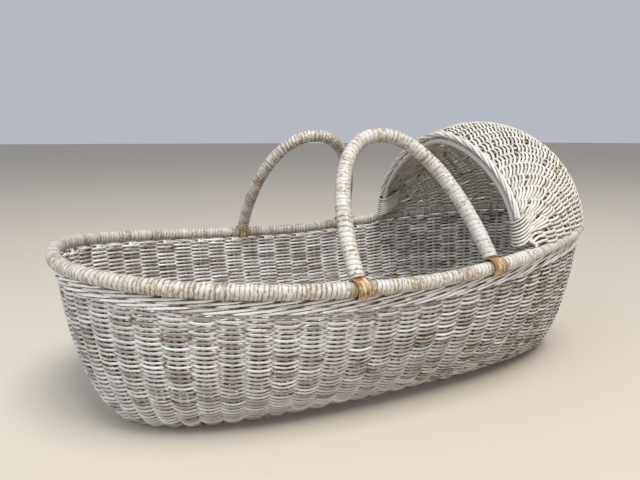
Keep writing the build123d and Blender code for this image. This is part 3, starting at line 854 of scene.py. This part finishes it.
# %% [markdown]
# The rows spread like a fan from a point a little way up the bow. Spread the side of the hood flat: the
# rim runs along one axis, the bow up the other, and the stakes are arcs round the corner between them.
# A row is then a ray from a point on the bow, and where it crosses an arc tells its share of that
# stake. Near the corner there is no room for every row, so pairs of rows turn back on the way. Steps
# of the golden ratio choose pairs that lie spread over the hood, and the others close up softly.

# %% How many rows each stake has room for
hood_rows, hood_pitch, golden_step = 88, 3.4, 0.6180339887
fan_lean, lean_power, soft_rows = 0.9, 4.5, 6
corner_gap, corner_crowd, crowd_reach, side_ease = 0.4, 0.7, 2.5, 0.14
from_corner = np.linspace(corner_gap, hood_gaps / 2, 273)
to_crest = from_corner / from_corner[-1]
fine_rise = np.linspace(0, 1, 201)
ribs = on_hood(fine_rise[None, :], from_corner[:, None])[0]
rib_length = np.cumsum(np.linalg.norm(np.diff(ribs, axis=1, prepend=ribs[:, :1]), axis=-1), 1)
lean = 1 + fan_lean * (1 - to_crest) ** lean_power
crowd = 1 + corner_crowd * np.exp(-from_corner / crowd_reach)
crowd = crowd * (1 - side_ease * np.sin(np.pi * to_crest) ** 2)
room = rib_length[:, -1] * lean / hood_pitch / 2 * crowd
rank = np.argsort(np.mod(np.arange(hood_rows // 2) * golden_step, 1.0))
stay = eased((room[None, :] - rank[:, None]) / soft_rows + 1)
print(f"a stake of the crest has room for {2 * room[-1]:.0f} rows")

# %% The fan of rows
fan_top, fan_slope = 0.8, 0.75
fan_height = np.minimum(fan_top, fan_slope * from_corner)
below = np.cumsum(stay, 0) - stay
order = np.stack((below + 0.25 * stay, below + 0.75 * stay), 1).reshape(hood_rows, -1) / stay.sum(0)
lowest = -np.arctan(fan_height / from_corner)
ray = lowest + (np.pi / 2 - lowest) * order
far = np.sqrt(from_corner**2 - (fan_height * np.cos(ray)) ** 2) - fan_height * np.sin(ray)
share = np.arctan2(fan_height + far * np.sin(ray), far * np.cos(ray)) / (np.pi / 2) * lean * 0.99
fan_rise = np.stack(
    [np.interp(share[:, k], rib_length[k] / rib_length[k, -1], fine_rise) for k in range(len(from_corner))], 1
)

# %% Where each row begins
ended = np.repeat(stay < 0.3, 2, 0)
under_border = share > 0.993
last = np.max(np.where(ended | under_border, np.arange(len(from_corner)) + 1, 0), 1)
last = np.minimum(last, len(from_corner) - 1)
row = np.arange(hood_rows)
begin = from_corner[last]
behind = np.ceil(begin) + (np.ceil(begin) + row + 1) % 2
turned = ended[row, np.maximum(last - 1, 0)] & (last > 0)
begin = np.where(turned, np.minimum(behind, hood_gaps / 2 - 0.5), begin)
print(f"hood: {hood_rows} rows, {int(turned.sum())} turn back, {int((last == 0).sum())} reach the corner")

# %% Weave of the hood
hood_swing, hood_radius, hood_flat, settle_gaps, tucked = 3.4, 1.66, 1.2, 1.4, 1.5
hood_nodes = ("hood_weave_outer", "hood_weave_inner")
u = np.linspace(0, 1, (hood_gaps - 2) * per_gap + 1)
gap = begin[:, None] + (hood_gaps - 2 * begin[:, None]) * u
near = np.minimum(gap, hood_gaps - gap)
rise = np.stack([np.interp(near[i], from_corner, fan_rise[i]) for i in range(hood_rows)])
rise = rise + 0.0008 * np.cos(9 * u[None, :] + rng.uniform(0, 6, (hood_rows, 1)))
wave = in_and_out(np.pi * (gap + row[:, None]))
settled = np.clip((near - corner_gap) / settle_gaps, 0, 1)
centre, facing = on_hood(rise, gap, hood_swing * wave * settled - tucked * (1 - settled))
rings, cosine = tube(centre, facing, picked_canes(hood_rows, hood_radius), flat=hood_flat)
hood_float = np.rint(gap).astype(int)
look = {
    # Low openness behind the floats gives a painted shadow; 0.45 of the crown in the tone is painted shade.
    "open_to_brush_and_light": 0.47 + 0.42 * crowning(wave, cosine, -0.8),
    "rub": spots(hood_rows, hood_gaps + 1, hood_float, 0.0, 0.13),
    "tone": spots(hood_rows, hood_gaps + 1, hood_float, 0.2, 0.25) + 0.45 * crowning(wave, cosine),
}
for start, name in ((0, "hood_even_rows"), (1, "hood_odd_rows")):
    part = {k: np.broadcast_to(v, rings.shape[:3])[start::2] for k, v in look.items()}
    piece(name, rings[start::2], hood_paint, hood_nodes, part)

# %% Stakes of the hood
upright_radius = 1.8
upright_gap = np.arange(2, hood_gaps - 1)
upright_rise = np.linspace(0.0, 0.985, 26)
centre, facing = on_hood(upright_rise[None, :], upright_gap[:, None])
rings, cosine = tube(centre, facing, upright_radius)
look = {
    "open_to_brush_and_light": 0.40 + 0.15 * np.abs(cosine),
    "rub": own_rub(len(upright_gap), 0.05),
    "tone": own_tone(len(upright_gap), 0.5),
}
piece("hood_uprights", rings, stake_paint, ("hood_stakes",), look)

# %% [markdown]
# The front edge is finished with a border of four strands laid round each other in a long lay, and a
# smooth rod inside it. Both follow the last hoop, moved out and ahead, so they fit the weave's edge.

# %% Border and bow
border_strands, border_lay, border_helix, border_radius, border_start = 4, 90.0, 2.5, 1.95, 2.2
bow_radius, bow_start = 4.0, 0.26
edge_gap = np.linspace(border_start, hood_gaps - border_start, 260)
line, edge_out = on_hood(1.0, edge_gap, 3.5, 5.6)
length = np.r_[0, np.cumsum(np.linalg.norm(np.diff(line, axis=0), axis=-1))]
edge_side = np.cross(tangents(line[None], False)[0], edge_out)
strand_turn = np.arange(border_strands)[:, None] / border_strands
lay = 2 * np.pi * (length[None, :] / border_lay + strand_turn)
spoke = np.cos(lay)[..., None] * edge_out + np.sin(lay)[..., None] * edge_side
rings, cosine = tube(line + border_helix * spoke, spoke, border_radius, 10)
look = {"open_to_brush_and_light": 0.50 + 0.30 * cosine, "rub": 0.05, "tone": own_tone(border_strands, 0.4)}
piece("hood_laid_border", rings, hood_paint, ("hood_border",), look)

edge_gap = np.linspace(bow_start, hood_gaps - bow_start, 260)
line, edge_out = on_hood(1.0, edge_gap, -7.3, 4.3)
rings, _ = tube(line[None], edge_out[None], bow_radius, 14)
# A tone of 0.9 gives the bow mostly its darker shade colour: painted shade.
look = {"open_to_brush_and_light": 0.60, "rub": 0.0, "tone": 0.9}
piece("hood_smooth_bow", rings, shaded_bow_paint, ("hood_bow",), look)

# %% [markdown]
# At the bow's feet short strands wrap round the rod, one above the other. Each comes forward along the
# outside of the hood, goes round the foot of the bow and back along the inside. It climbs towards the
# back, and the next one lies just above it.

# %% Wraps at the bow's feet
wraps, wrap_radius, wrap_first, wrap_step, wrap_climb = 8, 1.75, 0.10, 0.27, 0.030
wrap_reach, straight_part = 26.0, 0.3
wrap_height = wrap_first + wrap_step * np.arange(wraps)[:, None]
turn = np.linspace(0, 1, 49)[None, :]
swing_round = np.clip((turn - straight_part) / (1 - 2 * straight_part), 0, 1) * np.pi
coming, going = np.clip(straight_part - turn, 0, 1), np.clip(turn - 1 + straight_part, 0, 1)
back = wrap_reach * (coming + going) / straight_part
wrap_offset = -2.2 + (9.4 - 0.16 * back) * np.cos(swing_round)
wrap_ahead = 2.0 + 8.6 * np.sin(swing_round) - back
climb = wrap_height + wrap_climb * (wrap_ahead.max() - wrap_ahead)
for name, foot in (("left", 0), ("right", hood_gaps)):
    centre, _ = on_hood(1.0, np.abs(foot - climb), wrap_offset + 0 * climb, wrap_ahead + 0 * climb)
    rings, cosine = tube(centre, centre - centre.mean(1, keepdims=True), wrap_radius)
    look = {"open_to_brush_and_light": 0.36 + 0.40 * cosine, "rub": 0.05, "tone": own_tone(wraps, 0.5)}
    piece(f"{name}_corner_wraps", rings, hood_paint, ("hood_corner_bundles",), look)

# %% [markdown]
# ## What stays of the solid model
# The cores inside the lapping keep their solids, because a plain rod is all that they are, and get a
# bare rattan finish.

# %% Finish of the cores
for name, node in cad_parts.items():
    if not node.hide_render:
        node.data.materials.clear()
        node.data.materials.append(core_cane)
        print("kept solid", name)

# %% [markdown]
# ## Floor, light and camera
# A pale floor, a pale room, a large lamp above and in front, and a weaker bluish one from the left, as
# from a window. Large lamps give the soft shadows of a room; a point lamp would draw every strand's
# shadow hard. The camera stands where the photograph was taken.

# %% Floor
floor_half = 40
corners = [(-floor_half, -floor_half, 0), (floor_half, -floor_half, 0)]
corners += [(floor_half, floor_half, 0), (-floor_half, floor_half, 0)]
floor_mesh = bpy.data.meshes.new("pale_floor")
floor_mesh.from_pydata(corners, [], [(0, 1, 2, 3)])
floor = bpy.data.objects.new("pale_floor", floor_mesh)
bpy.context.scene.collection.objects.link(floor)
floor_finish = bpy.data.materials.new("pale_floor")
floor_finish.use_nodes = True
floor_shader = floor_finish.node_tree.nodes["Principled BSDF"].inputs
floor_shader["Base Color"].default_value = colour("c6bcae")
floor_shader["Roughness"].default_value = 0.7
floor_mesh.materials.append(floor_finish)
print("floor", 2 * floor_half, "m wide")

# %% Light
world = bpy.data.worlds.new("soft_room")
bpy.context.scene.world = world
world.use_nodes = True
room_light = world.node_tree.nodes["Background"].inputs
room_light["Color"].default_value = (0.86, 0.91, 1.0, 1)
room_light["Strength"].default_value = 0.54


def soft_lamp(name, place, size, power, tint, aim=(0, 0, 0.15)):
    """A large square lamp that looks at a point."""
    data = bpy.data.lights.new(name, "AREA")
    data.size, data.energy, data.color = size, power, tint
    lamp = bpy.data.objects.new(name, data)
    bpy.context.scene.collection.objects.link(lamp)
    lamp.location = place
    way = np.array(aim) - np.array(place)
    flat = math.hypot(way[0], way[1])
    lamp.rotation_euler = (math.pi / 2 + math.atan2(way[2], flat), 0, math.atan2(-way[0], way[1]))
    print(f"lamp {name}: {power} W, {size} m wide")


soft_lamp("ceiling", (0.0, -1.74, 4.0), 2.0, 180, (1.0, 0.985, 0.96))
soft_lamp("window", (-1.9, -0.9, 1.7), 1.4, 22, (0.74, 0.87, 1.0))

# %% Camera
focal_pixels, photo_pixels, sensor = 570.4, 640, 36.0
camera_down, camera_yaw = math.radians(10.07), math.radians(25.01)
data = bpy.data.cameras.new("photo_camera")
data.sensor_width, data.lens = sensor, focal_pixels / photo_pixels * sensor
camera = bpy.data.objects.new("photo_camera", data)
bpy.context.scene.collection.objects.link(camera)
camera.location = (-0.3849, -0.7396, 0.3382)
camera.rotation_euler = (math.pi / 2 - camera_down, 0, -camera_yaw)
bpy.context.scene.camera = camera
bpy.context.scene.view_settings.view_transform = "Standard"
print(f"camera lens {data.lens:.1f} mm")
